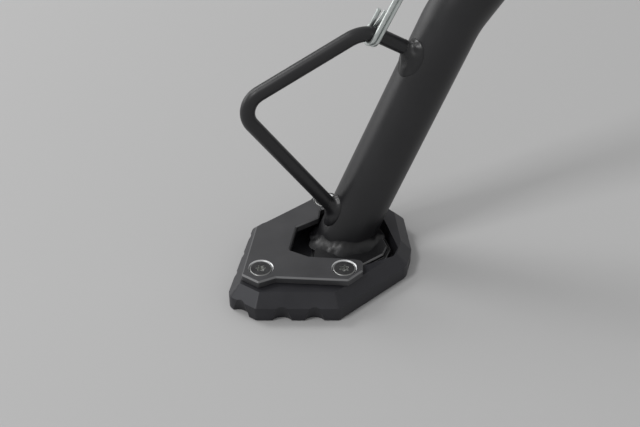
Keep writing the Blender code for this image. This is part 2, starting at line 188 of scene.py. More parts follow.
def settle(piece):
    """Write a piece's modifiers into its mesh."""
    graph = bpy.context.evaluated_depsgraph_get()
    data = bpy.data.meshes.new_from_object(piece.evaluated_get(graph))
    piece.modifiers.clear()
    piece.data = data
    return piece


MERGE, MERGE_FINE = 0.01, 0.001     # points this close are one, in millimetres, on worked pieces and on bars
FLAT = 0.5                          # faces this close in slope are one, in degrees


def worked(piece, cuts=(), joins=(), edge=0.0, segments=3, sharp=30):
    """Join tools on, cut tools out, then round the edges over, and light flat faces evenly."""
    for tool, operation in [(t, "UNION") for t in joins] + [(t, "DIFFERENCE") for t in cuts]:
        modifier = piece.modifiers.new(tool.name, "BOOLEAN")
        modifier.operation = operation
        modifier.object = tool
    settle(piece)
    for tool in list(cuts) + list(joins):
        bpy.data.objects.remove(tool, do_unlink=True)
    mesh = bmesh.new()
    mesh.from_mesh(piece.data)
    bmesh.ops.remove_doubles(mesh, verts=mesh.verts, dist=MERGE * MM)
    bmesh.ops.dissolve_limit(mesh, angle_limit=math.radians(FLAT), verts=mesh.verts, edges=mesh.edges)
    mesh.to_mesh(piece.data)
    mesh.free()
    if edge:
        modifier = piece.modifiers.new("edges", "BEVEL")
        modifier.width = edge * MM
        modifier.segments = segments
        modifier.limit_method = "ANGLE"
        modifier.angle_limit = math.radians(sharp)
        settle(piece)
    piece.data.shade_smooth()
    piece.data.set_sharp_from_angle(angle=math.radians(sharp))
    modifier = piece.modifiers.new("normals", "WEIGHTED_NORMAL")
    modifier.weight = 100
    modifier.keep_sharp = True
    return settle(piece)


# Materials

def linear(code):
    """An sRGB hex colour as linear light."""
    values = [int(code[i:i + 2], 16) / 255 for i in (1, 3, 5)]
    return tuple(v / 12.92 if v <= 0.04045 else ((v + 0.055) / 1.055) ** 2.4 for v in values) + (1.0,)


def add(tree, kind, settings=(), links=()):
    """Add a node with its settings, and link sockets of other nodes into it."""
    node = tree.nodes.new(kind)
    for name, value in dict(settings).items():
        if name in node.inputs:
            node.inputs[name].default_value = value
        else:
            setattr(node, name, value)
    for name, (source, output) in dict(links).items():
        tree.links.new(source.outputs[output], node.inputs[name])
    return node


def surface(name, dark, light, metallic, roughness, grain_mm, grain_height, patch_mm=25.0, spread=0.06,
            bare_and_highlight=None):
    """A finish with a slow drift of tone and roughness, and a fine grain in relief.

    Where a piece's bare_and_highlight attribute rises to 1, a second colour, of plain metal, shows: metal cut
    or worn through in some places, painted highlights and glints in others."""
    made = bpy.data.materials.new(name)
    made.use_nodes = True
    tree = made.node_tree
    shader = tree.nodes["Principled BSDF"]
    place = add(tree, "ShaderNodeTexCoord")
    patch = add(tree, "ShaderNodeTexNoise", {"Scale": 1 / (patch_mm * MM), "Detail": 4.0, "Roughness": 0.6},
                {"Vector": (place, "Object")})
    grain = add(tree, "ShaderNodeTexNoise", {"Scale": 1 / (grain_mm * MM), "Detail": 2.0},
                {"Vector": (place, "Object")})
    drift = add(tree, "ShaderNodeMapRange", {"From Min": 0.32, "From Max": 0.72}, {"Value": (patch, "Fac")})
    tone = add(tree, "ShaderNodeMixRGB", {"Color1": linear(dark), "Color2": linear(light)},
               {"Fac": (drift, "Result")})
    if bare_and_highlight:
        mark = add(tree, "ShaderNodeAttribute", {"attribute_name": "bare_and_highlight"})
        tone = add(tree, "ShaderNodeMixRGB", {"Color2": linear(bare_and_highlight)},
                   {"Fac": (mark, "Fac"), "Color1": (tone, "Color")})
        metal = add(tree, "ShaderNodeMapRange", {"To Min": metallic, "To Max": 1.0}, {"Value": (mark, "Fac")})
        tree.links.new(metal.outputs["Result"], shader.inputs["Metallic"])
    tree.links.new(tone.outputs["Color"], shader.inputs["Base Color"])
    rough = add(tree, "ShaderNodeMapRange", {"From Min": 0.25, "From Max": 0.75, "To Min": roughness - spread,
                                             "To Max": roughness + spread}, {"Value": (patch, "Fac")})
    tree.links.new(rough.outputs["Result"], shader.inputs["Roughness"])
    relief = add(tree, "ShaderNodeBump", {"Strength": 1.0, "Distance": grain_height * MM},
                 {"Height": (grain, "Fac")})
    tree.links.new(relief.outputs["Normal"], shader.inputs["Normal"])
    if not bare_and_highlight:
        shader.inputs["Metallic"].default_value = metallic
    return made


# Satin polyester powder coat: soft highlights over a faint orange peel, about 1.2 mm across
POWDER = surface("satin_powder_coat_black", "#1D1D1F", "#232325", metallic=0.0, roughness=0.38,
                 grain_mm=1.2, grain_height=0.02)
# The same coat pooled thick over weld metal: glossier and wavier
POWDER_WELD = surface("powder_coat_over_weld", "#18181A", "#202022", metallic=0.0, roughness=0.32,
                      grain_mm=2.5, grain_height=0.08, patch_mm=6.0)
# The same coat where it is thin over a rough hand-laid bead, drawn darker than on the tube: dull, and uneven
# in tone
POWDER_BEAD = surface("thin_powder_coat_over_bead", "#0D0D0F", "#1B1B1D", metallic=0.0, roughness=0.4,
                      grain_mm=1.8, grain_height=0.1, patch_mm=5.0, spread=0.14)
# The same coat on a pressed steel plate, drawn almost black as painted shade of the pocket it sits in, with a
# painted highlight along its flange's rim at the right
POWDER_PLATE = surface("powder_coat_black_painted_shade_and_highlight", "#0F0F11", "#151517", metallic=0.0, roughness=0.42,
                       grain_mm=1.2, grain_height=0.02, bare_and_highlight="#A9A9AA")
# Bead-blasted, black-anodised aluminium: even and matt. The blast grain is drawn at 0.35 mm, coarser than
# the real 0.1 mm, so that it shows
ANODISED = surface("blasted_black_anodising", "#27272B", "#2E2E32", metallic=0.25, roughness=0.44,
                   grain_mm=0.35, grain_height=0.012, patch_mm=18.0, bare_and_highlight="#8E9094")
# Laser-cut aluminium plate, satin-anodised dark grey: a soft sheen, its countersinks machined bright. Its
# grain is drawn at 0.3 mm, coarser than the real one
ANODISED_GREY = surface("satin_dark_grey_anodising", "#434345", "#4D4D4F", metallic=0.3, roughness=0.42,
                        grain_mm=0.3, grain_height=0.008, patch_mm=22.0, bare_and_highlight="#E4E5E6")
# Bright zinc plate over drawn and turned steel: pale, a little clouded
ZINC = surface("bright_zinc_plate", "#C4CAC8", "#DDE2E0", metallic=0.85, roughness=0.32,
               grain_mm=0.6, grain_height=0.01, patch_mm=4.0, spread=0.08)
# Black-oxide alloy steel screws, lightly oiled: dark and glossy, their recesses and rims drawn bright, partly
# key wear and partly painted glints
BLACK_OXIDE = surface("black_oxide_steel", "#3E3E3F", "#4E4E4F", metallic=0.7, roughness=0.36,
                      grain_mm=0.4, grain_height=0.006, patch_mm=3.0, bare_and_highlight="#C9CAC8")
# Sintered bronze, sized in a press: warm and finely pitted
BRONZE = surface("sintered_bronze", "#8A6536", "#A57C48", metallic=1.0, roughness=0.45,
                 grain_mm=0.3, grain_height=0.015, patch_mm=3.0)
# Compression-moulded rubber: matt, nearly black
RUBBER = surface("moulded_rubber_black", "#161616", "#1E1E1E", metallic=0.0, roughness=0.75,
                 grain_mm=0.5, grain_height=0.02)


def lay_bare_and_highlight(piece, amount):
    """Store, face by face, how far the plain-metal colour shows, as real wear or as a painted highlight,
    judged from its centre, in millimetres from the foot, and its normal.
    """
    values = []
    for face in piece.data.polygons:
        values.append(amount((face.center - GROUND) / MM, face.normal))
    piece.data.attributes.new("bare_and_highlight", "FLOAT", "FACE").data.foreach_set("value", values)
    return piece


def done(piece, material, body, slot, *nodes):
    """Finish a piece: its material, the body it moves with and the CAD nodes it stands for."""
    piece.data.materials.clear()
    piece.data.materials.append(material)
    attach(piece, body)
    if nodes:
        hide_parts(*nodes)
    return piece


# The leg's course in the swing plane

along = polar(1, LEG_ANGLE)
head_along = polar(1, HEAD_ANGLE)
bend_rise = BEND_R * Vector((math.sin(math.radians(LEG_ANGLE)) - math.sin(math.radians(HEAD_ANGLE)),
                             math.cos(math.radians(HEAD_ANGLE)) - math.cos(math.radians(LEG_ANGLE))))
foot = -(along * STRAIGHT + bend_rise + head_along * HEAD_REACH)
axis_foot = Vector((foot.x, foot.y, 0))
leg_up = Vector((along.x, along.y, 0))
loop_out = Vector((-along.y * math.cos(math.radians(LOOP_TILT)), along.x * math.cos(math.radians(LOOP_TILT)),
                   math.sin(math.radians(LOOP_TILT))))
bend_centre = foot + along * STRAIGHT + polar(BEND_R, LEG_ANGLE - 90)


def in_loop(point):
    """A point of the kick loop's plane: (out from the leg's axis, along it)."""
    return axis_foot + loop_out * point[0] + leg_up * point[1]


def height(point):
    """Height above ground, in millimetres, of a point in the swing plane's coordinates."""
    return (PLANE @ (Vector(point) * MM) - GROUND).z / MM


def tube_ring(radius, level, sides):
    """The leg's round section, sliced level at a height above the ground. A radius may vary by angle."""
    side = Vector((-along.y, along.x, 0))
    ring = []
    for i in range(sides):
        angle = 360 * i / sides
        spread = polar(radius(angle) if callable(radius) else radius, angle)
        start = axis_foot + side * spread.x + Vector((0, 0, spread.y))
        climb = ((level(angle) if callable(level) else level) - height(start)) / (
            height(start + leg_up) - height(start))
        ring.append(start + leg_up * climb)
    return ring


def square_ring(centre, angle, radius, sides):
    side = polar(1, angle + 90)
    return [Vector((centre.x + side.x * s.x, centre.y + side.y * s.x, s.y))
            for s in (polar(radius, 360 * i / sides) for i in range(sides))]


# Bars that follow a path, by Geometry Nodes

def bar_tree():
    """A round bar along a curve, from its radius and number of sides."""
    tree = bpy.data.node_groups.new("bar_along_path", "GeometryNodeTree")
    face = tree.interface
    face.new_socket("Geometry", in_out="INPUT", socket_type="NodeSocketGeometry")
    face.new_socket("Radius", in_out="INPUT", socket_type="NodeSocketFloat")
    face.new_socket("Sides", in_out="INPUT", socket_type="NodeSocketInt")
    face.new_socket("Material", in_out="INPUT", socket_type="NodeSocketMaterial")
    face.new_socket("Geometry", in_out="OUTPUT", socket_type="NodeSocketGeometry")
    given = add(tree, "NodeGroupInput")
    circle = add(tree, "GeometryNodeCurvePrimitiveCircle", links={"Resolution": (given, "Sides"),
                                                                   "Radius": (given, "Radius")})
    bar = add(tree, "GeometryNodeCurveToMesh", {"Fill Caps": True},
              {"Curve": (given, "Geometry"), "Profile Curve": (circle, "Curve")})
    smooth = add(tree, "GeometryNodeSetShadeSmooth", links={"Geometry": (bar, "Mesh")})
    real = add(tree, "GeometryNodeRealizeInstances", links={"Geometry": (smooth, "Geometry")})
    coloured = add(tree, "GeometryNodeSetMaterial", links={"Geometry": (real, "Geometry"),
                                                           "Material": (given, "Material")})
    add(tree, "NodeGroupOutput", links={"Geometry": (coloured, "Geometry")})
    return tree


BAR = bar_tree()


def set_input(modifier, name, value):
    socket = next(s for s in modifier.node_group.interface.items_tree
                  if s.name == name and s.in_out == "INPUT")
    modifier[socket.identifier] = value


def bar(name, path, radius, sides, material, place):
    """A bar along a path, as a plain mesh."""
    curve = bpy.data.curves.new(name, "CURVE")
    curve.dimensions = "3D"
    spline = curve.splines.new("POLY")
    spline.points.add(len(path) - 1)
    for point, position in zip(spline.points, path):
        point.co = (*(place @ (Vector(position) * MM)), 1.0)
    guide = placed(name + "_path", curve)
    modifier = guide.modifiers.new("bar", "NODES")
    modifier.node_group = BAR
    set_input(modifier, "Radius", radius * MM)
    set_input(modifier, "Sides", sides)
    set_input(modifier, "Material", material)
    graph = bpy.context.evaluated_depsgraph_get()
    data = bpy.data.meshes.new_from_object(guide.evaluated_get(graph))
    bpy.data.objects.remove(guide, do_unlink=True)
    mesh = bmesh.new()
    mesh.from_mesh(data)
    bmesh.ops.remove_doubles(mesh, verts=mesh.verts, dist=MERGE_FINE * MM)
    bmesh.ops.recalc_face_normals(mesh, faces=mesh.faces)
    mesh.to_mesh(data)
    mesh.free()
    data.set_sharp_from_angle(angle=math.radians(50))
    return placed(name, data)


# Leg tube: bent steel tube, its upper end in the head's socket

SIDES, BEND_STEPS = 96, 16
tube_path = []
for i in range(BEND_STEPS + 1):
    angle = LEG_ANGLE + (HEAD_ANGLE - LEG_ANGLE) * i / BEND_STEPS
    tube_path.append((bend_centre + polar(BEND_R, angle + 90), angle))
tube_path.append((-head_along * TUBE_STOP, HEAD_ANGLE))
rings = [tube_ring(TUBE_R, SHOE_TOP + 0.3, SIDES)] + [square_ring(p, a, TUBE_R, SIDES) for p, a in tube_path]
done(solid("tube", lofted(rings), PLANE), POWDER, "leg", "powder_coat", "leg_tube")

# Kick loop and its weld pads

loop_points = [in_loop(p) for p in (LOOP_START, LOOP_CORNER, LOOP_TOP, LOOP_END)]
loop_path = bent(loop_points, (LOOP_CORNER_R, LOOP_TOP_R), 24)
done(bar("kick_bar", loop_path, ROD_R, 40, POWDER, PLANE), POWDER, "leg", "powder_coat", "kick_loop")


EDGE_RISE, WELD_OVERLAP = 1.2, 0.15


def weld_flare(name, start, towards, length, width, rise, drop, forward, node, seed):
    """Weld metal swept up from the tube to the rod's end, with a full rounded outer edge.

    Its foot is drawn down the leg by drop and round it by forward."""
    climb = (towards[1] - start[1]) / (towards[0] - start[0])
    level = start[1] + (TUBE_R - start[0]) * climb
    side = leg_up.cross(loop_out)
    steps, sides = 22, 96
    rings = []
    for k in range(steps + 1):
        t = k / steps
        ring = []
        for i in range(sides):
            angle = 2 * math.pi * i / sides
            wave = noise.noise(Vector((math.cos(angle) * 1.5, math.sin(angle) * 1.5, seed + t * 1.6)))
            pit = noise.noise(Vector((math.cos(angle) * 2.6 * t, math.sin(angle) * 2.6 * t, seed)))
            spread = t ** 1.7 * (1 + 0.16 * wave)
            reach = ROD_R + WELD_OVERLAP + (length - ROD_R) * spread
            broad = ROD_R + WELD_OVERLAP + (width - ROD_R) * spread
            lift = ((rise - EDGE_RISE) * (1 - t) ** 2 + EDGE_RISE * (1 - t ** 5) ** 0.5 - 0.3 * t
                    + (0.8 * wave + 0.7 * pit) * t * (1 - t ** 3))
            turn = (broad * math.sin(angle) + forward * t) / (TUBE_R + lift)
            ring.append(axis_foot + leg_up * (level + lift * climb + reach * math.cos(angle) - drop * t)
                        + (loop_out * math.cos(turn) + side * math.sin(turn)) * (TUBE_R + lift))
        rings.append(ring)
    done(solid(name, lofted(rings), PLANE, 180), POWDER_WELD, "leg", "powder_coat", node)


weld_flare("pad_lower", LOOP_START, LOOP_CORNER, length=10.0, width=7.2, rise=5.0, drop=2.0, forward=1.0,
           node="loop_weld_lower", seed=3.1)
weld_flare("pad_upper", LOOP_END, LOOP_TOP, length=11.0, width=9.0, rise=3.6, drop=3.4, forward=3.4,
           node="loop_weld_upper", seed=8.7)

# Widened foot: base, clamp plate, screws

WALL_CORNERS = ((-62.6, -51.5), (-47.0, -62.2), (-2.5, -62.2), (35.6, -26.6), (39.2, -12), (36.8, 18),
                (27, 29), (6, 36), (-10, 35.6), (-24, 26), (-52.2, 8))
WALL_RADII = (6, 3, 3, 9, 4, 5, 6, 6, 5, 8, 4)
NOTCH_R, NOTCH_DEPTH, NOTCH_TOP = 6.5, 3.0, 12.0
POCKET_CORNERS = ((-31, -34.4), (9.6, -34.4), (28.0, -25.4), (31.0, -18), (24.6, 8), (18.4, 21), (2.4, 22.4),
                  (-3.6, 18.0), (-18, 15.4), (-32, -4))
POCKET_RADII = (4, 3, 3, 4, 3, 3, 2, 1, 3, 4)


def notches(start, end, places):
    """Centres of the scallops along one side of the wall, which fade out at their top."""
    start, end = Vector(start), Vector(end)
    run = (end - start).normalized()
    outward = Vector((run.y, -run.x))
    return [start + run * place + outward * (NOTCH_R - NOTCH_DEPTH) for place in places]


def make_base():
    rings = [[(p.x, p.y, z) for p in stepped_in(WALL_CORNERS, WALL_RADII, step_in)]
             for step_in, z in ((0.5, 0.02), (0, 0.5), (0, WALL_TOP), (BASE_TOP - WALL_TOP, BASE_TOP))]
    block = solid("base", lofted(rings), LEVEL)
    centres = (notches(WALL_CORNERS[0], WALL_CORNERS[1], (9.0,))
               + notches(WALL_CORNERS[1], WALL_CORNERS[2], (13.9, 31.3))
               + notches(WALL_CORNERS[-1], WALL_CORNERS[0], (8.0, 25.0, 42.0)))
    narrowing = NOTCH_DEPTH / NOTCH_TOP
    tools = [solid("notch", turned([(NOTCH_R + narrowing, -1), (NOTCH_R - NOTCH_DEPTH, NOTCH_TOP)], 96),
                   LEVEL @ shifted(c.x, c.y, 0)) for c in centres]
    tools.append(solid("pocket", prism(rounded(POCKET_CORNERS, POCKET_RADII), POCKET_FLOOR, 30), LEVEL))

    def pale_rim_and_highlight(centre, normal):
        """Paler along the lower rim, and a little paler on the front chamfer at the left, a painted highlight
        of light from the left.
        """
        # Painted highlight: the front-left chamfer, which faces the light, is drawn a little paler
        highlight_chamfer = normal.y < -0.5 and normal.x < -0.2 and 0.2 < normal.z < 0.9
        return 0.5 if centre.z < 0.5 and normal.z > -0.9 else 0.08 if highlight_chamfer else 0.0

    return lay_bare_and_highlight(worked(block, tools, edge=0.45, sharp=24), pale_rim_and_highlight)


done(make_base(), ANODISED, "leg", "anodised_black", "foot_extension")

CLAMP_CORNERS = ((-54.9, -46.5), (-45.6, -52.9), (-36.5, -48.6), (2.3, -51.1), (10.3, -43.1), (10.3, -34.2),
                 (6.5, -33.0), (-19.0, -30.6), (-29.6, -25.0), (-26.2, -4.0), (-13.4, 4.8), (-12.6, 12.4),
                 (-3.4, 17.4), (-0.6, 25.4), (-5.6, 30.4), (-16.0, 27.6), (-18.6, 22.8), (-49.4, -3.8))
CLAMP_RADII = (1.2, 1.2, 2, 1.2, 1.2, 2, 1.2, 1.2, 1.2, 1.5, 2, 2, 3, 3, 4, 4, 2, 2)
CHAMFER, SINK_R, SCREW_HEAD_R, THREAD_R = 0.8, 7.0, 6.1, 3.0


def make_clamp():
    rings = [[(p.x, p.y, z) for p in stepped_in(CLAMP_CORNERS, CLAMP_RADII, step_in, 4)]
             for step_in, z in ((0, PLATE_LOW), (0, PLATE_TOP - CHAMFER), (CHAMFER, PLATE_TOP))]
    sink = [(THREAD_R + 0.5, PLATE_LOW - 2), (THREAD_R + 0.5, PLATE_TOP - 3.5),
            (SCREW_HEAD_R + 0.3, PLATE_TOP - 0.7), (SINK_R, PLATE_TOP + 0.2), (SINK_R, PLATE_TOP + 2)]
    tools = [solid("sink", turned(sink, 64), LEVEL @ shifted(x, y, 0)) for x, y in SCREWS]
    plate = worked(solid("plate", lofted(rings), LEVEL), tools, edge=0.12, segments=2, sharp=24)

    def bright_cuts_and_highlight(centre, normal):
        """Countersinks are cut bright; chamfers are worn through a little, and drawn paler along the front as
        a painted highlight.
        """
        if normal.z > 0.95 or centre.z < PLATE_TOP - 1.0:
            return 0.0
        if min(Vector((centre.x - x, centre.y - y)).length for x, y in SCREWS) < SINK_R + 0.3:
            return 1.0
        # Painted highlight: the front chamfers, facing the light, are drawn paler
        return 0.16 if normal.y < -0.3 else 0.03

    return lay_bare_and_highlight(plate, bright_cuts_and_highlight)


done(make_clamp(), ANODISED_GREY, "leg", "anodised_grey", "clamp_plate")


def screw_tree(screw):
    """The screw repeated on every point of a mesh."""
    tree = bpy.data.node_groups.new("screws_on_points", "GeometryNodeTree")
    face = tree.interface
    face.new_socket("Geometry", in_out="INPUT", socket_type="NodeSocketGeometry")
    face.new_socket("Turn", in_out="INPUT", socket_type="NodeSocketFloat")
    face.new_socket("Material", in_out="INPUT", socket_type="NodeSocketMaterial")
    face.new_socket("Geometry", in_out="OUTPUT", socket_type="NodeSocketGeometry")
    given = add(tree, "NodeGroupInput")
    shape = add(tree, "GeometryNodeObjectInfo", {"Object": screw})
    index = add(tree, "GeometryNodeInputIndex")
    turn = add(tree, "ShaderNodeMath", {"operation": "MULTIPLY"})
    tree.links.new(index.outputs["Index"], turn.inputs[0])
    tree.links.new(given.outputs["Turn"], turn.inputs[1])
    spin = add(tree, "ShaderNodeCombineXYZ", links={"Z": (turn, "Value")})
    spread = add(tree, "GeometryNodeInstanceOnPoints", links={
        "Points": (given, "Geometry"), "Instance": (shape, "Geometry"), "Rotation": (spin, "Vector")})
    real = add(tree, "GeometryNodeRealizeInstances", links={"Geometry": (spread, "Instances")})
    coloured = add(tree, "GeometryNodeSetMaterial", links={"Geometry": (real, "Geometry"),
                                                           "Material": (given, "Material")})
    add(tree, "NodeGroupOutput", links={"Geometry": (coloured, "Geometry")})
    return tree


KEY_R, SCREW_TURN = 2.9, 0.4


def make_screws():
    """Countersunk socket screws, their heads a little below the plate."""
    head = solid("screw", turned([(THREAD_R, 4 - PLATE_TOP), (THREAD_R, -3.9), (SCREW_HEAD_R, -0.9),
                                  (SCREW_HEAD_R, -0.6), (SCREW_HEAD_R - 0.5, -0.3)], 64), Matrix())
    lobes = [polar(2.35 + 0.42 * math.cos(math.radians(6 * a)), a) for a in range(0, 360, 5)]
    drive = solid("drive", prism(lobes, -3.2, 2), Matrix())
    worked(head, [drive], edge=0.12, segments=2, sharp=28)

    def key_wear_and_glints(centre, normal):
        """The recess is drawn bright, its floor too, as key wear and as painted glints; the head's rim a
        little, as a painted highlight.
        """
        centre = centre + GROUND / MM
        # Painted glints: the whole recess is drawn in the pale metal colour
        if centre.xy.length < KEY_R and centre.z < -0.35:
            return 1.0 if normal.z < 0.9 else 0.7
        return 0.35 if centre.xy.length > SCREW_HEAD_R - 0.7 and centre.z > -0.9 else 0.0

    lay_bare_and_highlight(head, key_wear_and_glints)
    points = bpy.data.meshes.new("screw_places")
    points.from_pydata([GROUND + Vector((x, y, PLATE_TOP)) * MM for x, y in SCREWS], [], [])
    screws = placed("screws", points)
    modifier = screws.modifiers.new("screws", "NODES")
    modifier.node_group = screw_tree(head)
    set_input(modifier, "Turn", SCREW_TURN)
    set_input(modifier, "Material", BLACK_OXIDE)
    settle(screws)
    bpy.data.objects.remove(head, do_unlink=True)
    screws.data.shade_smooth()
    screws.data.set_sharp_from_angle(angle=math.radians(30))
    return screws


done(make_screws(), BLACK_OXIDE, "leg", "black_oxide", "clamp_screw_1", "clamp_screw_2", "clamp_screw_3")

# Original foot plate, pressed with a lower flange, and the weld round the tube

SHOE_CORNERS = ((-20, -32.6), (8.6, -32.6), (24.4, -20.4), (27.6, -12), (22.6, 7), (17, 19.2), (3, 20.6),
                (-3, 13.6), (-15, 11.6), (-17.4, -8))
SHOE_RADII = (4, 3, 3, 4, 4, 4, 3, 3, 4, 6)
shoe_rings = [[(p.x, p.y, z) for p in stepped_in(SHOE_CORNERS, SHOE_RADII, step_in)]
              for step_in, z in ((0.3, SHOE_LOW), (0, SHOE_LOW + 0.3), (0, 8.4), (0.4, 8.8), (1.7, 8.8),
                                 (1.9, 10.2), (2.6, SHOE_TOP))]
shoe = worked(solid("shoe", lofted(shoe_rings), LEVEL), edge=0.3, sharp=28)
# Painted highlight: the upper slopes of the flange on the right are drawn in a pale metal colour, as lit
# along the rim
lay_bare_and_highlight(shoe, lambda centre, normal:
         0.45 if 0.3 < normal.z < 0.93 and centre.z > 8 and centre.x > 9 else 0.0)
done(shoe, POWDER_PLATE, "leg", "powder_coat", "foot_plate")


def make_foot_weld():
    """A rough hand-laid bead between the tube and the foot plate, heaviest at the front."""
    def lump(angle, at):
        turn = polar(1.6, angle)
        return noise.noise(Vector((turn.x * 1.6, turn.y * 1.6, at))) + 0.35 * noise.noise(
            Vector((turn.x * 4, turn.y * 4, at + 4)))

    def front(angle):
        return (0.5 + 0.5 * math.cos(math.radians(angle - 95))) ** 1.5

    rings = []
    steps = 14
    for k in range(steps + 1):
        t = math.radians(90 * k / steps)
        rings.append(tube_ring(
            lambda a, t=t: (TUBE_R - 0.15
                            + (1.6 + 6.0 * front(a)) * (1 - math.sin(t)) * (1 + 0.5 * lump(a, 1))),
            lambda a, t=t: (SHOE_TOP - 0.2
                            + (3.4 + 2.2 * front(a)) * (1 - math.cos(t)) * (1 + 0.35 * lump(a, 5))),
            180))
    rings.append(tube_ring(TUBE_R - 1.0, SHOE_TOP + 4, 180))
    rings.append(tube_ring(TUBE_R - 1.0, SHOE_TOP - 0.2, 180))
    return solid("foot_bead", lofted(rings, True), PLANE, 180)


done(make_foot_weld(), POWDER_BEAD, "leg", "powder_coat", "foot_weld")

# Springs

HOOK_GAP, WIRE_GAP, NECK_R = 0.15, 0.1, 5.0
COIL_FROM, COIL_TO, COIL_STEPS = 80.0, 176.0, 28        # the coils' ends, up from the rod
HOOK_TIP, HOOK_SIDE, SHANK, SHANK_TOP = 12.6, 7.5, (30, 52), 66        # up from the rod, too
post = PLANE.inverted() @ POST / MM
loop_steps = bent([in_loop(p) for p in ((18.3, 20.6), LOOP_CORNER, LOOP_TOP, (17.6, 118.7))],
                  (LOOP_CORNER_R, LOOP_TOP_R), 8)
hook_at = loop_steps[-4]
rod_line = (loop_steps[-3] - loop_steps[-5]).normalized()
spring_run = hook_at - post
spring_along = spring_run.normalized()


def smoothed(path, rounds):
    """Corner-cutting, so that wire bends are round."""
    for _ in range(rounds):
        cut = [path[0]]
        for a, b in zip(path, path[1:]):
            cut += [a.lerp(b, 0.25), a.lerp(b, 0.75)]
        path = cut + [path[-1]]
    return path


def spring(name, wire_r, coil_r, turns, side, hand, node):
    """A spring from the post's neck to the loop's rod, with a long open hook at each end.

    Side says on which side of its neighbour it hooks on, hand which way it is wound."""
    grip = ROD_R + HOOK_GAP + wire_r
    across = spring_along.cross(rod_line).normalized()
    across = across if across.z > 0 else -across
    beside = across.cross(spring_along).normalized() * side * (wire_r + WIRE_GAP)
    rod_centre = spring_run + beside

    def by_rod(up, out):
        return rod_centre - spring_along * up + across * out

    start, end = spring_run.length - COIL_FROM, spring_run.length - COIL_TO
    up_side = spring_along.cross(across)
    coil = []
    for k in range(turns * COIL_STEPS + 1):
        angle = 2 * math.pi * k / COIL_STEPS * hand
        high = start + (end - start) * k / (turns * COIL_STEPS)
        coil.append(spring_along * high + coil_r * (across * math.cos(angle) + up_side * math.sin(angle)))
    hook = [by_rod(HOOK_TIP, -grip * 0.66) + beside * 0.5, by_rod(HOOK_SIDE, -grip * 0.7) + beside * 0.3]
    hook += [by_rod(-grip * math.sin(math.radians(a)), -grip * math.cos(math.radians(a)))
             for a in range(-30, 181, 10)]
    hook += [by_rod(up, grip) for up in SHANK] + [by_rod(SHANK_TOP, grip * 0.6 + coil_r * 0.4)]
    clasp = NECK_R + 4 * HOOK_GAP + wire_r
    pin_line = Vector((0, 0, -1)) * side * (wire_r + 2 * WIRE_GAP)
    sideways = Vector((0, 0, 1)).cross(spring_along).normalized()
    hook_line = sideways.cross(Vector((0, 0, 1))).normalized()
    hook_line = hook_line if hook_line.dot(spring_along) > 0 else -hook_line
    round_post = [polar(clasp, a) for a in range(30, -201, -10)]
    ring = [pin_line + hook_line * p.y + sideways * p.x for p in round_post]
    lead = spring_along * (end - 6) + across * coil_r * 0.45 + pin_line * 0.7 + sideways * clasp * 0.45
    path = smoothed(hook, 1) + coil + smoothed([coil[-1].lerp(lead, 0.4), lead, ring[0]], 2) + ring[1:]
    piece = bar(name, path, wire_r, 14, ZINC, PLANE @ shifted(*post))
    return done(piece, ZINC, "springs", "zinc", node)


spring("spring_large", wire_r=1.25, coil_r=8.4, turns=24, side=-1, hand=1, node="outer_spring")
spring("spring_small", wire_r=1.15, coil_r=4.8, turns=26, side=1, hand=-1, node="inner_spring")

# Forked head, bracket and pivot hardware

LUG_HALF, CHEEK_IN, CHEEK_OUT = 5.0, 6.4, 12.4
HEAD_R, BOSS_R, THROAT_R = 19.0, 17.0, 20.0
BORE_R, BUSH_HOLE_R, SHANK_R = 8.0, 6.3, 6.0
DOWN = HEAD_ANGLE + 180
UP = DOWN + TRAVEL
STOP_OFFSET, BUFFER = 19.3, 3.0
turn_head = Matrix.Rotation(math.radians(DOWN), 4, "Z")
lay_x = Matrix.Rotation(math.radians(90), 4, "Y")


def make_head():
    outline = arc((0, 0), HEAD_R, 87, 273, 60) + [Vector((33, -16.2)), Vector((33, 16.2))]
    block = solid("fork", prism(outline, -CHEEK_OUT, CHEEK_OUT), PLANE @ turn_head)
    socket = solid("socket", turned([(11, 21), (16.4, 29), (16.4, 39.2), (15.9, TUBE_STOP)], 96),
                   PLANE @ turn_head @ lay_x)
    throat = arc((0, 0), THROAT_R, -80, 80, 48) + [Vector((-30, 26)), Vector((-30, -26))]
    slot = solid("slot", prism(throat, -CHEEK_IN, CHEEK_IN), PLANE @ turn_head)
    hole = solid("hole", turned([(BUSH_HOLE_R, -20), (BUSH_HOLE_R, 20)], 64), PLANE)
    return worked(block, [slot, hole], [socket], edge=0.7, sharp=32)


done(make_head(), POWDER, "leg", "powder_coat", "clevis_head")


RIPPLES, RIPPLE_HEIGHT, BEAD_HALF, BEAD_HEIGHT = 40, 0.1, 2.0, 1.1


def make_head_weld():
    """The machine-laid bead where the tube meets the head, rippled all round."""
    rings = []
    steps, sides = 12, 240
    side = polar(1, HEAD_ANGLE + 90)
    for k in range(steps):
        t = 2 * math.pi * k / steps
        middle = head_along * (BEAD_HALF * math.cos(t) - TUBE_STOP)
        ring = []
        for i in range(sides):
            ripple = 1 + RIPPLE_HEIGHT * math.sin(2 * math.pi * i / sides * RIPPLES) if math.sin(t) > 0 else 1
            spread = polar(TUBE_R + 0.1 + BEAD_HEIGHT * math.sin(t) * ripple, 360 * i / sides)
            ring.append(Vector((middle.x + side.x * spread.x, middle.y + side.y * spread.x, spread.y)))
        rings.append(ring)
    return solid("head_bead", lofted(rings, True), PLANE, 180)


done(make_head_weld(), POWDER_WELD, "leg", "powder_coat")


def side_point(angle, reach, offset):
    """A point along a direction from the pivot, set off to its left."""
    return polar(reach, angle) + polar(offset, angle + 90)


FACE_PLATE, FACE_PLATE_R, FACE_PLATE_T = ((-36, -32), (36, -32), (36, 46), (-36, 46)), 12, 12
FRAME_HOLES, FRAME_HOLE_R, POST_HOLE_R = ((-23, -19), (23, -19), (16, 32)), 5.3, 5.3


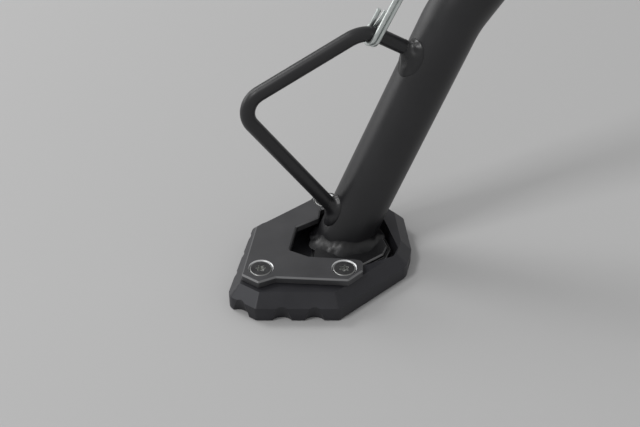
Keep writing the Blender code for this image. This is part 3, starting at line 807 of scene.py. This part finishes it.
def make_bracket():
    lug = (arc((0, 0), BOSS_R, 150, 420, 72)
           + [side_point(UP, 6, STOP_OFFSET + BUFFER + 0.3), side_point(UP, 30, STOP_OFFSET + BUFFER + 0.3),
              Vector((39, 27)), Vector((30, 82)), Vector((-30, 82)), Vector((-30, 30)),
              side_point(DOWN, 25, -STOP_OFFSET - 9), side_point(DOWN, 28, -STOP_OFFSET),
              side_point(DOWN, 4, -STOP_OFFSET)])
    block = solid("bracket", prism(lug, -LUG_HALF, LUG_HALF), PLANE)
    joins = [solid("boss", turned([(11, 0), (11, 9.2), (10.2, 10)], 64), PLANE @ shifted(post.x, post.y, 0)),
             solid("face", prism(rounded(FACE_PLATE, [FACE_PLATE_R] * 4, 16), 0, FACE_PLATE_T), FACE)]
    cuts = [solid("bush_hole", turned([(BORE_R, -20), (BORE_R, 20)], 64), PLANE),
            solid("post_hole", turned([(POST_HOLE_R, 2), (POST_HOLE_R, 20)], 48),
                  PLANE @ shifted(post.x, post.y, 0))]
    cuts += [solid("frame_hole", turned([(FRAME_HOLE_R, -30), (FRAME_HOLE_R, 30)], 48),
                   shifted(x, 0, z) @ FACE) for x, z in FRAME_HOLES]
    return worked(block, cuts, joins, edge=0.8, sharp=30)


done(make_bracket(), POWDER, "root", "powder_coat", "mount_bracket")


def hexagon(across, low, high):
    return prism([polar(across / math.sqrt(3), 60 * i) for i in range(6)], low, high)


def make_bolt():
    shank = solid("bolt", turned([(4.9, -23), (4.9, -12.6), (SHANK_R, -12.3), (SHANK_R, 12.7), (10.2, 12.7),
                                  (10.2, 16.2), (9.4, 17)], 64), PLANE)
    socket = solid("socket", hexagon(8, 14, 20), PLANE)
    return worked(shank, [socket], edge=0.3, sharp=30)


NUT_HOLE_R = 5.3
NUT_FLANGE = ((11, -14.0), (10.6, -13.2), (10.6, -12.7), (NUT_HOLE_R, -12.7), (NUT_HOLE_R, -14.0))


def make_nut():
    """A flanged hexagon nut."""
    flange = solid("nut", turned(NUT_FLANGE, 64, True), PLANE)
    body = solid("hexagon", hexagon(15, -20.5, -13.8), PLANE)
    hole = solid("hole", turned([(NUT_HOLE_R, -24), (NUT_HOLE_R, -10)], 48), PLANE)
    return worked(flange, [hole], [body], edge=0.35, sharp=30)


done(make_bolt(), ZINC, "leg", "zinc", "pivot_bolt")
done(make_nut(), ZINC, "leg", "zinc", "pivot_nut")
POST_PROFILE = ((5, 2.3), (5, 10.3), (8, 10.3), (8, 12), (6.5, 13.2), (6.5, 31), (NECK_R, 33.2),
                (NECK_R, 42.8), (7.5, 44), (7.5, 46), (6.8, 46.8))
done(worked(solid("post", turned(POST_PROFILE, 64), PLANE @ shifted(post.x, post.y, 0)), edge=0.3), ZINC,
     "root", "zinc", "spring_post")
WASHER_R, WASHER_T = 12, 0.6
for name, low in (("washer_outer", 5.5), ("washer_inner", -6.1)):
    ring = [(WASHER_R, low), (WASHER_R, low + WASHER_T), (BUSH_HOLE_R, low + WASHER_T), (BUSH_HOLE_R, low)]
    done(worked(solid("thrust_" + name, turned(ring, 64, True), PLANE), edge=0.12), ZINC, "root", "zinc",
         name)
BUSH_R, BUSH_HALF = 7.7, 5.2
bush = [(BUSH_R, -BUSH_HALF), (BUSH_R, BUSH_HALF), (BUSH_HOLE_R, BUSH_HALF), (BUSH_HOLE_R, -BUSH_HALF)]
done(worked(solid("bush", turned(bush, 64, True), PLANE), edge=0.2), BRONZE, "root", "bronze", "pivot_bush")
BUFFER_ENDS = (8, 27)
pad = [side_point(UP, reach, STOP_OFFSET) for reach in BUFFER_ENDS]
pad += [side_point(UP, reach, STOP_OFFSET + BUFFER) for reach in BUFFER_ENDS[::-1]]
done(worked(solid("buffer", prism(pad, -LUG_HALF, LUG_HALF), PLANE), edge=0.9), RUBBER, "root", "rubber",
     "stop_buffer")


# Floor and light

FLOOR_HALF, FLOOR_GAP = 6.0, 0.0002     # in metres


def make_floor():
    data = bpy.data.meshes.new("floor")
    corners = ((-1, -1), (1, -1), (1, 1), (-1, 1))
    data.from_pydata([GROUND + Vector((x * FLOOR_HALF, y * FLOOR_HALF, -FLOOR_GAP)) for x, y in corners],
                     [], [(0, 1, 2, 3)])
    floor = placed("floor", data)
    paint = bpy.data.materials.new("matt_studio_floor")
    paint.use_nodes = True
    shader = paint.node_tree.nodes["Principled BSDF"]
    shader.inputs["Base Color"].default_value = linear("#BCBCBC")
    shader.inputs["Roughness"].default_value = 0.9
    data.materials.append(paint)


def softbox(name, position, target, size, power):
    """An area light, placed and aimed in metres from the foot."""
    data = bpy.data.lights.new(name, "AREA")
    data.shape = "RECTANGLE"
    data.size, data.size_y = size
    data.energy = power
    lamp = placed(name, data)
    lamp.location = GROUND + Vector(position)
    lamp.rotation_euler = (GROUND + Vector(target) - lamp.location).to_track_quat("-Z", "Y").to_euler()


def light_studio():
    world = bpy.data.worlds.new("studio")
    bpy.context.scene.world = world
    world.use_nodes = True
    back = world.node_tree.nodes["Background"]
    back.inputs["Color"].default_value = linear("#FFFFFF")
    back.inputs["Strength"].default_value = 0.48
    softbox("front_left_softbox", (-1.74, -1.05, 2.8), (0, 0, 0.05), (0.75, 0.75), 30.8)
    softbox("rear_left_softbox", (-1.79, 1.23, 2.24), (0, 0, 0.05), (1.0, 1.0), 23.0)
    softbox("rear_left_strip", (-2.1, 1.1, 0.6), (0, 0, 0.1), (2.3, 0.85), 13.0)
    bpy.context.scene.view_settings.view_transform = "Standard"


make_floor()
light_studio()
